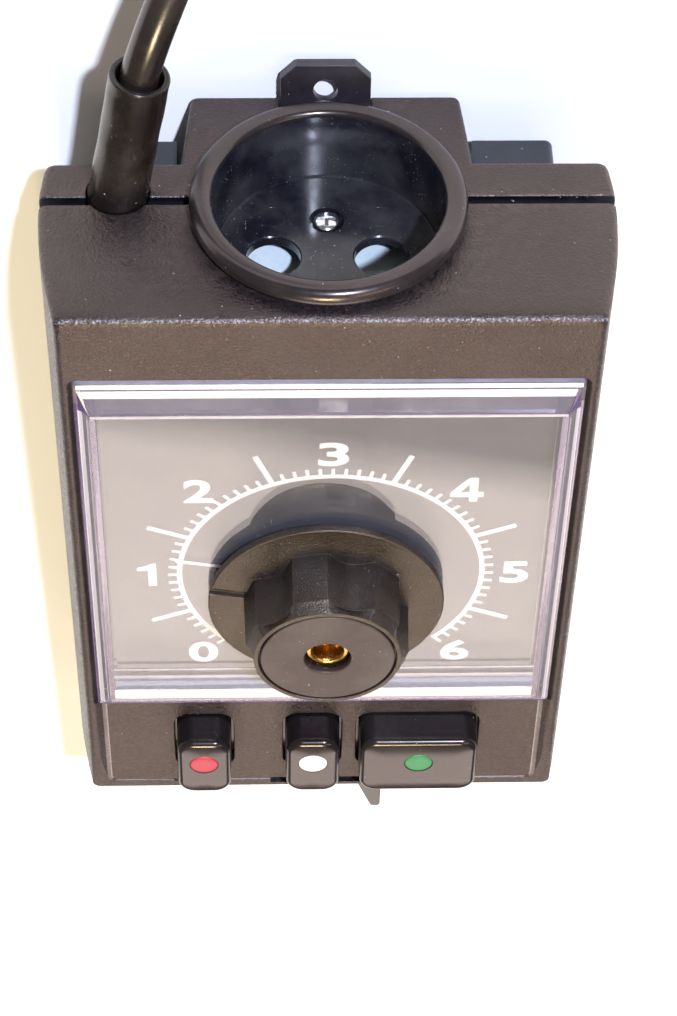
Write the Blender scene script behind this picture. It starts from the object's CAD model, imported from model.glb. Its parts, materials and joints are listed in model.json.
"""Looks for the darkroom enlarger timer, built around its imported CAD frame.

The case lies on the bench with its panel tilted. Shapes are drawn in panel
millimetres from the dial centre: X across, Y to the outlet end, Z out of the
panel. The keys are at the -Y end; the outlet and the cable leave at +Y.
"""
import json
import math

import bmesh
import bpy
from mathutils import Matrix, Vector


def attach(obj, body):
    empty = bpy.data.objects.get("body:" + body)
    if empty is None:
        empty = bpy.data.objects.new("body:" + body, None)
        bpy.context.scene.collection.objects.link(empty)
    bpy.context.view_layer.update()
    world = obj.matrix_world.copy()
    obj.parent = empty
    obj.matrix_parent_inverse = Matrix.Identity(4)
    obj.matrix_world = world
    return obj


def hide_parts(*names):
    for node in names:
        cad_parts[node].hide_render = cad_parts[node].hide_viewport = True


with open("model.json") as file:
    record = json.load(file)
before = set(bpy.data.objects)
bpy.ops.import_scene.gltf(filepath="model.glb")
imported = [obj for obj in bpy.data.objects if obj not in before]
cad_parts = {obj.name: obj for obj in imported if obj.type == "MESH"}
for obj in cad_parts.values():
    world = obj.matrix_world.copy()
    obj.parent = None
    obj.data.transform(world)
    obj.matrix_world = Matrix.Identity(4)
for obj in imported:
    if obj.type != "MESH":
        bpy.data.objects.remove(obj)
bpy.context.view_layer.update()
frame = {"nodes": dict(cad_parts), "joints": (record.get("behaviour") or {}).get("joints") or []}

NODES = frame["nodes"]
MM = 0.001


# ------------------------------------------------------- the panel's frame
def frame_at(place, x_axis, y_axis, z_axis):
    """The matrix of a frame with these axes at a place."""
    axes = Matrix((x_axis, y_axis, z_axis)).transposed().to_4x4()
    return Matrix.Translation(place) @ axes


# the knob's joint gives the dial centre and the panel's normal
turn = next(j for j in frame["joints"] if j["name"] == "knob_turn")
AXIS_Z = Vector(turn["axis"]).normalized()
AXIS_X = Vector((1.0, 0.0, 0.0))
AXIS_Y = AXIS_Z.cross(AXIS_X).normalized()
DIAL = Vector(turn["pos_m"])
PANEL = frame_at(DIAL, AXIS_X, AXIS_Y, AXIS_Z) @ Matrix.Scale(MM, 4)
TO_PANEL = PANEL.inverted()
TILT = math.atan2(-AXIS_Z.y, AXIS_Z.z)
SLOPE = math.tan(TILT)


# ---------------------------------------------------------- shader building
class Shader:
    """A material's node tree, with short ways to add nodes. Sizes are in mm."""

    def __init__(self, name):
        self.material = bpy.data.materials.new(name)
        self.material.use_nodes = True
        self.tree = self.material.node_tree
        self.tree.nodes.clear()
        self.output = self.node("OutputMaterial")
        self.place = self.node("TexCoord").outputs["Object"]

    def node(self, kind, inputs=None, **settings):
        node = self.tree.nodes.new("ShaderNode" + kind)
        for key, value in settings.items():
            setattr(node, key, value)
        for key, value in (inputs or {}).items():
            self.feed(node.inputs[key], value)
        return node

    def feed(self, socket, value):
        """Link an output or set a value; None leaves the input as it is."""
        if isinstance(value, bpy.types.NodeSocket):
            self.tree.links.new(value, socket)
        elif value is not None:
            socket.default_value = (*value, 1.0) if socket.type == "RGBA" else value

    def finish(self, shader):
        self.feed(self.output.inputs[0], shader.outputs[0])
        return self.material

    def mix(self, share, first, second):
        node = self.node("Mix", {0: share, 6: first, 7: second}, data_type="RGBA")
        return node.outputs[2]

    def mix_shader(self, share, first, second):
        return self.node("MixShader", {0: share, 1: first.outputs[0], 2: second.outputs[0]})

    def math(self, operation, a, b=0.0, clamp=False):
        node = self.node("Math", {0: a, 1: b}, operation=operation, use_clamp=clamp)
        return node.outputs[0]

    def multiply(self, a, b):
        return self.math("MULTIPLY", a, b)

    def plus(self, a, b, clamp=False):
        return self.math("ADD", a, b, clamp)

    def vector_math(self, operation, a, b=None):
        return self.node("VectorMath", {0: a, 1: b}, operation=operation).outputs

    def ramp(self, value, span, to=(0.0, 1.0)):
        """Map the span of a value to another, clamped at both ends."""
        node = self.node("MapRange", {"Value": value, "From Min": span[0], "From Max": span[1],
                                      "To Min": to[0], "To Max": to[1]})
        return node.outputs["Result"]

    def noise(self, size, detail=2.0, rough=0.5, vector=None):
        node = self.node("TexNoise", {"Vector": self.place if vector is None else vector,
                                      "Scale": 1000.0 / size, "Detail": detail,
                                      "Roughness": rough})
        return node.outputs["Fac"]

    def bump(self, height, strength, distance, normal=None):
        return self.node("Bump", {"Strength": strength, "Distance": distance * MM,
                                  "Height": height, "Normal": normal}).outputs[0]

    def specks(self, cell, radius, share, seed):
        """Sparse small dots: 1 inside a dot, 0 elsewhere."""
        shifted = self.vector_math("ADD", self.place, (seed, seed * 1.7, seed * 0.6))[0]
        cells = self.node("TexVoronoi", {"Vector": shifted, "Scale": 1000.0 / cell})
        dot = self.ramp(cells.outputs["Distance"], span=(radius, radius * 0.55))
        split = self.node("SeparateColor", {0: cells.outputs["Color"]})
        return self.multiply(dot, self.math("GREATER_THAN", split.outputs[0], 1.0 - share))

    def scratches(self, clouds, rotation, stretch, size, span, patches):
        """Fine lines from stretched noise, kept to patches of the clouds."""
        stretched = self.node("Mapping", {"Vector": self.place, "Rotation": rotation,
                                          "Scale": (1.0, stretch, 1.0)})
        lines = self.ramp(self.noise(size, vector=stretched.outputs[0]), span)
        return self.multiply(lines, self.ramp(clouds, patches))


def dust_mask(shader, clouds, amount, cell):
    """Two sizes of speck in patches, over a faint film."""
    dots = shader.plus(
        shader.specks(cell, radius=0.11, share=0.05 + 0.22 * amount, seed=0.31),
        shader.specks(cell * 0.45, radius=0.16, share=0.03 + 0.16 * amount, seed=1.13),
        clamp=True)
    dots = shader.multiply(dots, shader.ramp(shader.noise(size=9.0, detail=3.0),
                                             span=(0.42, 0.60)))
    film = shader.multiply(shader.ramp(clouds, span=(0.45, 0.7)), 0.05 * amount)
    return shader.math("MAXIMUM", shader.multiply(dots, min(1.0, 0.5 + 0.4 * amount)), film)


# a point of the panel's +Y edge, and the directions across and through it
RIDGE = PANEL @ Vector((0.0, 71.75, 2.45))
RIDGE_ACROSS = (AXIS_Y * 0.75 - AXIS_Z * 0.66).normalized()
RIDGE_DEPTH = (AXIS_Y * 0.66 + AXIS_Z * 0.75).normalized()


def ridge_mask(shader):
    """Worn grain tips along the panel's +Y edge."""
    offset = shader.vector_math("SUBTRACT", shader.place, tuple(RIDGE))[0]

    def near(way, span):
        dot = shader.vector_math("DOT_PRODUCT", offset, tuple(way))["Value"]
        return shader.ramp(shader.math("ABSOLUTE", dot), span)

    band = shader.multiply(near(RIDGE_ACROSS, span=(0.00042, 0.00016)),
                           near(RIDGE_DEPTH, span=(0.0010, 0.0006)))
    tips = shader.ramp(shader.noise(size=0.42, detail=1.0), span=(0.46, 0.66))
    return shader.multiply(shader.multiply(tips, band), 0.62)


def turning_marks(shader):
    """Noise that changes only with the distance from the knob's axis."""
    offset = shader.vector_math("SUBTRACT", shader.place, tuple(DIAL))[0]
    cross = shader.vector_math("CROSS_PRODUCT", offset, tuple(AXIS_Z))[0]
    distance = shader.vector_math("LENGTH", cross)["Value"]
    wave = shader.node("TexNoise", {"W": distance, "Scale": 9000.0}, noise_dimensions="1D")
    return wave.outputs["Fac"]


MATERIALS = {}


# grain and fine are (size, strength) of a bump; wear is (colour, amount)
def finish(name, dark, light, rough=(0.4, 0.5), metal=0.0, cloud=14.0, grain=None,
           fine=None, specular=0.5, tint=None, dust=0.0, dust_cell=1.3, wear=None,
           scratch=0.0, subsurface=0.0, bevel=0.12, worn_ridge=False, turned=False):
    """A surface with clouded colour, broken roughness, grain, dust and wear."""
    shader = Shader(name)
    clouds = shader.noise(cloud, detail=4.0, rough=0.6)
    small = shader.noise(cloud * 0.13, detail=3.0, rough=0.6)
    blend = shader.plus(shader.multiply(clouds, 0.65), shader.multiply(small, 0.35))
    colour = shader.mix(shader.ramp(blend, span=(0.36, 0.64)), dark, light)
    roughness = shader.ramp(blend, span=(0.35, 0.65), to=rough)
    if grain and grain[1] > 0.5:
        pits = shader.ramp(shader.noise(grain[0] * 1.3, detail=1.0), span=(0.34, 0.66))
        colour = shader.mix(shader.multiply(pits, 0.40), colour, tuple(c * 1.7 for c in light))
        roughness = shader.plus(roughness, shader.multiply(pits, 0.20))
    if wear:
        pointed = shader.node("NewGeometry").outputs["Pointiness"]
        worn = shader.multiply(shader.ramp(pointed, span=(0.53, 0.60)),
                               shader.ramp(small, span=(0.42, 0.62)))
        colour = shader.mix(shader.multiply(worn, wear[1]), colour, wear[0])
    if scratch:
        lines = shader.scratches(clouds, rotation=(0.3, 0.2, 0.6), stretch=0.03, size=0.35,
                                 span=(0.66, 0.72), patches=(0.5, 0.62))
        lines = shader.multiply(lines, scratch)
        colour = shader.mix(lines, colour, tuple(min(1.0, c * 2.6 + 0.05) for c in light))
        roughness = shader.plus(roughness, shader.multiply(lines, 0.25))
    if dust:
        dusty = dust_mask(shader, clouds, dust, dust_cell)
        colour = shader.mix(dusty, colour, (0.62, 0.60, 0.56))
        roughness = shader.plus(roughness, shader.multiply(dusty, 0.4), clamp=True)
    if worn_ridge:
        colour = shader.mix(ridge_mask(shader), colour, (0.34, 0.35, 0.43))

    normal = None
    if bevel:
        normal = shader.node("Bevel", {"Radius": bevel * MM}, samples=4).outputs[0]
    if grain:
        size, strength = grain
        normal = shader.bump(shader.noise(size, rough=0.6), strength, size * 0.36, normal)
        normal = shader.bump(shader.noise(size * 2.6), strength * 0.35, size * 0.30, normal)
    if fine:
        size, strength = fine
        normal = shader.bump(shader.noise(size), strength, size * 0.05, normal)
    if turned:
        normal = shader.bump(turning_marks(shader), strength=0.35, distance=0.02,
                             normal=normal)
    MATERIALS[name] = shader.finish(shader.node("BsdfPrincipled", {
        "Base Color": colour, "Roughness": roughness, "Metallic": metal, "IOR": 1.5,
        "Specular IOR Level": specular, "Specular Tint": tint, "Coat Roughness": 0.1,
        "Subsurface Weight": subsurface,
        "Subsurface Scale": 0.001 if subsurface else None, "Normal": normal}))


def clear(name, tint, haze=0.0, haze_colour=None, rough=0.015, scratches=0.0, ior=1.49):
    """Clear acrylic: refracts for the eye, lets light straight through."""
    shader = Shader(name)
    clouds = shader.noise(size=25.0, detail=3.0, rough=0.6)
    base = shader.mix(shader.ramp(clouds, span=(0.35, 0.65)), tint,
                      tuple(min(1.0, c * 1.03) for c in tint))
    seen = shader.node("BsdfPrincipled", {
        "Base Color": base, "Transmission Weight": 1.0, "IOR": ior,
        "Roughness": shader.ramp(clouds, span=(0.3, 0.7), to=(rough, rough * 2.2)),
        "Normal": shader.bump(shader.noise(size=6.0), strength=0.06, distance=0.02)})
    if haze:
        milky = shader.node("BsdfPrincipled", {"Base Color": haze_colour, "Roughness": 0.25})
        level = shader.ramp(shader.noise(size=4.0, detail=3.0), span=(0.3, 0.7),
                            to=(haze * 0.8, min(1.0, haze * 1.15)))
        if scratches:
            marks = shader.scratches(clouds, rotation=(0.0, 0.0, 0.9), stretch=0.02,
                                     size=0.4, span=(0.68, 0.73), patches=(0.50, 0.64))
            marks = shader.plus(
                marks, shader.specks(cell=2.6, radius=0.06, share=0.12, seed=0.7), clamp=True)
            level = shader.math("MAXIMUM", shader.multiply(marks, scratches), level)
        seen = shader.mix_shader(level, seen, milky)
    path = shader.node("LightPath").outputs
    unseen = shader.math("MAXIMUM", path["Is Shadow Ray"], path["Is Diffuse Ray"])
    through = shader.node("BsdfTransparent", {0: tint})
    MATERIALS[name] = shader.finish(shader.mix_shader(unseen, seen, through))


# --------------------------------------------------------------- materials
finish("abs_grained", dark=(0.009, 0.0065, 0.0080), light=(0.015, 0.0110, 0.0120),
       rough=(0.27, 0.35), grain=(0.52, 1.0), specular=0.76, tint=(1.0, 0.80, 0.72),
       dust=0.30, dust_cell=2.2, wear=((0.11, 0.085, 0.07), 0.35), bevel=0.18,
       worn_ridge=True)
finish("moulded_lip", dark=(0.13, 0.105, 0.095), light=(0.19, 0.16, 0.15),
       rough=(0.20, 0.30), fine=(0.6, 0.15), specular=0.7, dust=0.1, bevel=0.0)
finish("seam_shadow", dark=(0.0035, 0.0035, 0.006), light=(0.006, 0.006, 0.010),
       rough=(0.30, 0.45), grain=(0.4, 0.3), dust=1.0, dust_cell=1.6, specular=0.3,
       bevel=0.0)
finish("abs_smooth", dark=(0.018, 0.021, 0.028), light=(0.026, 0.030, 0.038),
       rough=(0.30, 0.40), grain=(0.22, 0.18), dust=0.25, dust_cell=2.4, bevel=0.2)
finish("gloss_black", dark=(0.010, 0.009, 0.010), light=(0.017, 0.015, 0.016),
       rough=(0.13, 0.22), fine=(0.5, 0.05), dust=0.35, dust_cell=1.8, bevel=0.10)
finish("tab_satin", dark=(0.020, 0.016, 0.020), light=(0.030, 0.025, 0.029),
       rough=(0.28, 0.36), fine=(0.5, 0.12), dust=0.35, dust_cell=1.8, specular=0.7,
       bevel=0.10)
finish("outlet_gloss", dark=(0.006, 0.006, 0.011), light=(0.011, 0.011, 0.018),
       rough=(0.13, 0.20), fine=(0.8, 0.06), dust=1.0, dust_cell=1.1, scratch=0.25)
finish("outlet_ring", dark=(0.013, 0.0105, 0.0115), light=(0.021, 0.0165, 0.0175),
       rough=(0.21, 0.28), fine=(0.4, 0.10), dust=0.25, dust_cell=2.0, bevel=0.0,
       specular=0.66, tint=(1.0, 0.86, 0.84))
finish("key_satin", dark=(0.007, 0.0055, 0.0065), light=(0.012, 0.0095, 0.010),
       rough=(0.16, 0.23), fine=(0.35, 0.10), dust=0.25, dust_cell=2.0, bevel=0.0,
       tint=(1.0, 0.86, 0.84))
finish("knob_grained", dark=(0.008, 0.0060, 0.0060), light=(0.015, 0.0108, 0.0095),
       rough=(0.25, 0.34), grain=(0.32, 0.95), dust=0.55, dust_cell=1.6, specular=0.78,
       tint=(1.0, 0.82, 0.66), wear=((0.16, 0.12, 0.08), 0.5), bevel=0.10)
finish("knob_cap_satin", dark=(0.026, 0.019, 0.018), light=(0.040, 0.030, 0.028),
       rough=(0.36, 0.46), grain=(0.5, 0.16), dust=1.0, tint=(1.0, 0.84, 0.80), bevel=0.0)
finish("dial_satin_black", dark=(0.012, 0.011, 0.012), light=(0.018, 0.017, 0.018),
       rough=(0.30, 0.40), grain=(0.25, 0.10), bevel=0.0, dust=0.1)
finish("dial_print_white", dark=(0.52, 0.49, 0.46), light=(0.62, 0.59, 0.56),
       rough=(0.45, 0.55), fine=(0.3, 0.1), bevel=0.0)
finish("brass_turned", dark=(0.46, 0.25, 0.07), light=(0.62, 0.38, 0.12),
       rough=(0.20, 0.32), metal=1.0, cloud=3.0, fine=(0.2, 0.15), bevel=0.0, turned=True)
finish("brass_plain", dark=(0.60, 0.38, 0.12), light=(0.80, 0.54, 0.20),
       rough=(0.20, 0.32), metal=1.0, cloud=3.0, fine=(0.3, 0.15))
finish("zinc_plate", dark=(0.50, 0.50, 0.50), light=(0.72, 0.72, 0.73),
       rough=(0.22, 0.36), metal=1.0, cloud=2.5, fine=(0.25, 0.25), scratch=0.3)
finish("screw_bright", dark=(0.66, 0.67, 0.70), light=(0.90, 0.91, 0.94),
       rough=(0.12, 0.26), metal=1.0, cloud=1.2, fine=(0.18, 0.5), scratch=0.4)
finish("pale_ceramic", dark=(0.66, 0.80, 0.86), light=(0.80, 0.90, 0.94),
       rough=(0.35, 0.45), cloud=5.0, fine=(0.3, 0.2), dust=0.1, subsurface=0.15)
finish("rubber_black", dark=(0.012, 0.012, 0.012), light=(0.022, 0.021, 0.020),
       rough=(0.68, 0.82), grain=(0.3, 0.35), dust=0.6, dust_cell=1.2)
finish("sleeve_pvc", dark=(0.007, 0.0050, 0.0045), light=(0.015, 0.0105, 0.0080),
       rough=(0.22, 0.30), cloud=11.0, fine=(0.8, 0.07), dust=0.3, dust_cell=1.8,
       specular=0.42, scratch=0.25, wear=((0.16, 0.13, 0.10), 0.5), bevel=0.0)
finish("cable_pvc", dark=(0.014, 0.010, 0.009), light=(0.026, 0.019, 0.016),
       rough=(0.24, 0.33), cloud=18.0, fine=(1.4, 0.18), dust=0.15, dust_cell=2.4,
       specular=0.7, bevel=0.0, scratch=0.2)
finish("board_paper", dark=(0.24, 0.15, 0.06), light=(0.36, 0.25, 0.11),
       rough=(0.35, 0.5), cloud=6.0, fine=(0.4, 0.2), scratch=0.2)
finish("winding_copper", dark=(0.36, 0.13, 0.05), light=(0.52, 0.22, 0.09),
       rough=(0.25, 0.4), metal=0.6, cloud=2.0, grain=(0.4, 0.6))
finish("core_steel", dark=(0.12, 0.12, 0.13), light=(0.26, 0.25, 0.25), rough=(0.4, 0.6),
       metal=0.9, cloud=4.0, grain=(0.35, 0.5), wear=((0.3, 0.12, 0.05), 0.5))
finish("relay_blue", dark=(0.05, 0.13, 0.36), light=(0.09, 0.20, 0.48),
       rough=(0.28, 0.4), fine=(0.4, 0.1))
finish("moulding_beige", dark=(0.52, 0.45, 0.33), light=(0.66, 0.60, 0.47),
       rough=(0.42, 0.55), fine=(0.4, 0.15), dust=0.2)
finish("capacitor_blue", dark=(0.03, 0.06, 0.16), light=(0.06, 0.10, 0.24),
       rough=(0.25, 0.35), fine=(0.5, 0.1))
for name, dark, light in (
        ("enamel_red", (0.36, 0.013, 0.032), (0.43, 0.021, 0.046)),
        ("enamel_white", (0.86, 0.84, 0.79), (0.95, 0.94, 0.90)),
        ("enamel_green", (0.008, 0.165, 0.045), (0.016, 0.22, 0.064))):
    finish(name, dark, light, rough=(0.30, 0.40), cloud=2.5, fine=(0.35, 0.12), bevel=0.05)
finish("core_brown", dark=(0.16, 0.07, 0.03), light=(0.22, 0.10, 0.05))
finish("core_blue", dark=(0.03, 0.12, 0.42), light=(0.05, 0.18, 0.52))
finish("core_green", dark=(0.20, 0.50, 0.06), light=(0.42, 0.62, 0.08), cloud=2.0)

clear("acrylic_clear", tint=(0.985, 0.98, 0.99), haze=0.032,
      haze_colour=(0.86, 0.84, 0.95), scratches=0.16)
clear("acrylic_edge", tint=(0.90, 0.88, 0.97), haze=0.5, haze_colour=(0.60, 0.57, 0.66),
      rough=0.05)
clear("acrylic_riser", tint=(0.88, 0.87, 0.94), haze=0.42, haze_colour=(0.22, 0.20, 0.26),
      rough=0.05)
clear("acrylic_thin", tint=(0.96, 0.95, 0.98), ior=1.07)
clear("acrylic_bright", tint=(0.95, 0.93, 0.97), haze=0.90,
      haze_colour=(0.72, 0.70, 0.68), rough=0.05)
clear("acrylic_pale", tint=(0.95, 0.93, 0.97), haze=0.55, haze_colour=(0.46, 0.44, 0.46),
      rough=0.05)
clear("acrylic_mauve", tint=(0.93, 0.90, 0.95), haze=0.50, haze_colour=(0.34, 0.29, 0.36),
      rough=0.05)
clear("acrylic_greyblue", tint=(0.90, 0.92, 0.98), haze=0.50,
      haze_colour=(0.24, 0.26, 0.36), rough=0.05)
clear("acrylic_violet", tint=(0.60, 0.52, 0.80), haze=0.75,
      haze_colour=(0.075, 0.045, 0.14), rough=0.06)


# ------------------------------------------------------ mesh building tools
def loft(rings, closed=False):
    """Skin rings of points; a ring of one point is a tip. Closed joins the ends."""
    shape = bmesh.new()
    loops = [[shape.verts.new(p) for p in ring] for ring in rings]
    pairs = list(zip(loops[:-1], loops[1:]))
    if closed:
        pairs.append((loops[-1], loops[0]))
    for a, b in pairs:
        count = max(len(a), len(b))
        for i in range(count):
            j = (i + 1) % count
            if len(a) == 1:
                shape.faces.new((a[0], b[i], b[j]))
            elif len(b) == 1:
                shape.faces.new((a[i], a[j], b[0]))
            else:
                shape.faces.new((a[i], a[j], b[j], b[i]))
    if not closed:
        for end in (loops[0], loops[-1]):
            if len(end) > 1:
                shape.faces.new(end)
    bmesh.ops.recalc_face_normals(shape, faces=shape.faces)
    return shape


def ring_at(outline, z):
    return [(x, y, z) for x, y in outline]


def stack(rows, outline):
    """Loft through rows of (z, then what the outline function takes)."""
    return loft([ring_at(outline(*values), z) for z, *values in rows])


def rounded_rect(x0, x1, y0, y1, radius, steps):
    points = []
    for x, y, start in ((x1 - radius, y0 + radius, -90.0), (x1 - radius, y1 - radius, 0.0),
                        (x0 + radius, y1 - radius, 90.0), (x0 + radius, y0 + radius, 180.0)):
        for k in range(steps + 1):
            angle = math.radians(start + 90.0 * k / steps)
            points.append((x + radius * math.cos(angle), y + radius * math.sin(angle)))
    return points


def shell(sections, inset=0.0, radius=1.5, steps=6):
    """Loft rounded rectangles from rows of (z, half width, y0, y1)."""
    corner = max(radius - 0.8 * inset, 0.8)
    return stack(sections, lambda half, y0, y1: rounded_rect(
        -half + inset, half - inset, y0 + inset, y1 - inset, corner, steps))


def block(x0, x1, y0, y1, z0, z1, radius=0.0, steps=6):
    outline = ((x1, y0), (x1, y1), (x0, y1), (x0, y0))
    if radius > 0.0:
        outline = rounded_rect(x0, x1, y0, y1, radius, steps)
    return loft([ring_at(outline, z) for z in (z0, z1)])


def circle(radius, z, steps, centre=(0.0, 0.0)):
    return [(centre[0] + radius * math.cos(math.tau * k / steps),
             centre[1] + radius * math.sin(math.tau * k / steps), z) for k in range(steps)]


def lathe(profile, steps, closed=False):
    """Turn a profile of (radius, z) about Z."""
    return loft([[(0.0, 0.0, z)] if radius == 0.0 else circle(radius, z, steps)
                 for radius, z in profile], closed)


def rod(radius, z0, z1, steps, centre=(0.0, 0.0)):
    return loft([circle(radius, z, steps, centre) for z in (z0, z1)])


def moved(shape, x=0.0, y=0.0, z=0.0):
    bmesh.ops.translate(shape, vec=(x, y, z), verts=shape.verts)
    return shape


def rotated(shape, angle, axis):
    bmesh.ops.rotate(shape, verts=shape.verts, cent=(0, 0, 0),
                     matrix=Matrix.Rotation(angle, 3, axis))
    return shape


def along_y(shape, x=0.0, z=0.0):
    """Lay a shape drawn along Z down along Y."""
    matrix = Matrix(((1, 0, 0, x), (0, 0, 1, 0), (0, -1, 0, z), (0, 0, 0, 1)))
    bmesh.ops.transform(shape, matrix=matrix, verts=shape.verts)
    bmesh.ops.recalc_face_normals(shape, faces=shape.faces)
    return shape


CASE_START, CASE_END = -68.8, 72.5
SOLE_Z = -51.3  # the heel block's sole at CASE_END


def bench_z(y, above=0.0):
    """Panel Z of a plane parallel to the bench, above the heel block's sole."""
    return SOLE_Z + (CASE_END - y) * SLOPE + above


def bench_ring(outline, above):
    return [(x, y, bench_z(y, above)) for x, y in outline]


def on_bench(shape, x, y, above=0.0):
    """Stand a shape square to the bench."""
    return moved(rotated(shape, -TILT, "X"), x, y, bench_z(y, above))


def merged(*shapes):
    """Several shapes in one mesh, without joining their surfaces."""
    out = bmesh.new()
    for shape in shapes:
        mesh = bpy.data.meshes.new("part")
        shape.to_mesh(mesh)
        shape.free()
        out.from_mesh(mesh)
        bpy.data.meshes.remove(mesh)
    return out


def solid(name, shape):
    mesh = bpy.data.meshes.new(name)
    shape.to_mesh(mesh)
    shape.free()
    obj = bpy.data.objects.new(name, mesh)
    bpy.context.scene.collection.objects.link(obj)
    return obj


def boolean(target, shape, operation):
    tool = solid("tool", shape)
    mod = target.modifiers.new("cut", "BOOLEAN")
    mod.operation = operation
    mod.solver = "EXACT"
    mod.object = tool
    bpy.context.view_layer.update()
    depsgraph = bpy.context.evaluated_depsgraph_get()
    mesh = bpy.data.meshes.new_from_object(target.evaluated_get(depsgraph))
    target.modifiers.clear()
    old = target.data
    target.data = mesh
    mesh.name = target.name
    bpy.data.meshes.remove(old)
    bpy.data.objects.remove(tool, do_unlink=True)


def cut(target, *shapes):
    for shape in shapes:
        boolean(target, shape, "DIFFERENCE")


def join(target, *shapes):
    for shape in shapes:
        boolean(target, shape, "UNION")


def paint(obj, looks, pick):
    """Several materials on one object; pick(centre, normal) gives a face's slot."""
    for look in looks:
        obj.data.materials.append(MATERIALS[look])
    for poly in obj.data.polygons:
        index = pick(poly.center, poly.normal)
        if index:
            poly.material_index = int(index)


def piece(obj, look, body, node=None, sharp=30.0, weighted=True):
    """Panel millimetres to the row frame, shading, material and body.

    The look is None for an object that has been painted.
    """
    obj.data.transform(PANEL)
    if look:
        obj.data.materials.append(MATERIALS[look])
    obj.data.shade_smooth()
    obj.data.set_sharp_from_angle(angle=math.radians(sharp))
    if weighted:
        mod = obj.modifiers.new("normals", "WEIGHTED_NORMAL")
        mod.keep_sharp = True
        mod.weight = 80
    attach(obj, body)
    if node:
        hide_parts(node)


# ------------------------------------------------------- shared dimensions
WALL = 2.4
CASE_SCREWS = ((-44.6, -55.0), (44.6, -55.0), (-44.6, 46.0), (44.6, 46.0))
COVER_SCREWS = ((-30.0, -39.0), (30.0, -39.0))
SCREW_HOLE_R = 1.6

SOCKET_Z = -22.65   # the outlet's axis runs along Y at this height
TUBE_R, INSERT_R = 21.4, 17.0
PINS_X = (-9.5, 9.5)
OUTLET_SCREW_Z = -31.6

SLEEVE_BASE = (-36.3, CASE_END, -27.5)
SLEEVE_LEAN = math.radians(10.0)
SLEEVE_R, BORE_R, SLEEVE_LEN, COLLAR_R = 5.25, 4.0, 27.5, 5.9
FIT = 0.3           # clearance round the outlet tube and the sleeve

# name, x, width, colour of the spot
BUTTONS = (("stop", -23.6, 10.8, "red"), ("focus", -2.0, 10.8, "white"),
           ("start", 19.0, 23.5, "green"))
KEY_Y0, KEY_Y1 = -60.9, -43.6
KEY_CORNER = 3.3


def leaning(shape):
    """Lay a shape along the strain sleeve's axis."""
    return moved(rotated(along_y(shape), -SLEEVE_LEAN, "Z"), *SLEEVE_BASE)


def outlet_hole():
    return along_y(rod(TUBE_R + FIT, 55.4, 80.0, 96), z=SOCKET_Z)


def sleeve_holes():
    """The hole for the sleeve and the groove for its collar."""
    return (leaning(rod(SLEEVE_R + FIT, -8.0, 8.0, 40)),
            leaning(rod(COLLAR_R + FIT, -6.5, -3.6, 40)))


# ------------------------------------------------------------- front shell
# z, half width, y0, y1
FRONT = ((2.80, 45.4, -66.8, 70.6), (2.72, 45.75, -67.1, 71.15),
         (2.50, 46.15, -67.45, 71.65), (2.05, 46.50, -67.75, 72.1),
         (1.30, 46.7, -67.95, 72.4), (-0.4, 47.05, -68.1, CASE_END),
         (-2.0, 47.45, -68.2, CASE_END), (-5.6, 48.1, -68.35, CASE_END),
         (-8.5, 48.65, -68.45, CASE_END), (-11.3, 49.1, -68.55, CASE_END),
         (-14.0, 49.43, -68.64, CASE_END), (-17.0, 49.7, -68.72, CASE_END),
         (-22.0, 50.0, CASE_START, CASE_END), (-24.35, 50.0, CASE_START, CASE_END),
         (-24.6, 49.8, -68.6, 72.3))
FRONT_HOLLOW = ((-3.7, 47.7, -67.2, CASE_END), (-5.6, 48.1, -67.6, CASE_END),
                (-11.3, 49.1, -68.2, CASE_END), (-17.0, 49.7, -68.6, CASE_END),
                (-22.0, 50.0, CASE_START, CASE_END), (-26.0, 50.0, CASE_START, CASE_END))
# z, widening
WINDOW_RECESS = ((1.3, 0.0), (2.4, 0.42), (2.66, 0.55), (2.81, 0.8), (5.0, 0.8))
KEY_HOLE = ((-3.0, 0.0), (1.12, 0.0), (1.25, 0.08), (1.31, 0.25), (3.0, 0.25))
# z, half width, y0, corner radius
KEY_RECESS = ((1.3, 42.55, -65.8, 1.5), (1.42, 42.8, -65.94, 1.6), (1.8, 43.45, -66.2, 1.9),
              (2.35, 44.25, -66.5, 2.2), (2.62, 44.65, -66.65, 2.4),
              (2.81, 45.1, -66.9, 2.6), (5.0, 45.1, -66.9, 2.6))
# y, z of the wedge that lowers the rim at the -Y end
RIM_WEDGE = ((-53.0, 2.85), (-65.94, 1.66), (-70.0, 1.55), (-70.0, 4.0), (-53.0, 4.0))
KEY_GAP = 0.5

front = solid("case_front", shell(FRONT))
cut(front, shell(FRONT_HOLLOW, WALL),
    block(-44.0, 44.0, -64.0, -38.6, -5.0, -0.9, 2.0, 3))
join(front, *[rod(3.2, -24.1, -6.0, 24, place) for place in CASE_SCREWS])
cut(front,
    stack(WINDOW_RECESS, lambda out: rounded_rect(
        -44.3 - out, 44.3 + out, -37.4 - out, 56.9 + out, 1.0 + out, 6)),
    stack(KEY_RECESS, lambda half, y0, corner: rounded_rect(
        -half, half, y0, -36.0, corner, 8)),
    loft([[(x, y, z) for y, z in RIM_WEDGE] for x in (-60.0, 60.0)]),
    # a seat for the dial plate, and the opening under it
    block(-41.6, 41.6, -35.4, 55.0, -1.5, 3.0, 1.0, 4),
    block(-38.0, 38.0, -32.0, 51.5, -6.0, 3.0, 1.0, 4))
for _, key_x, width, _ in BUTTONS:
    half = width / 2 + KEY_GAP
    cut(front, stack(KEY_HOLE, lambda out: rounded_rect(
        key_x - half - out, key_x + half + out, KEY_Y0 - KEY_GAP - out,
        KEY_Y1 + KEY_GAP + out, KEY_CORNER + out, 8)))
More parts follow.
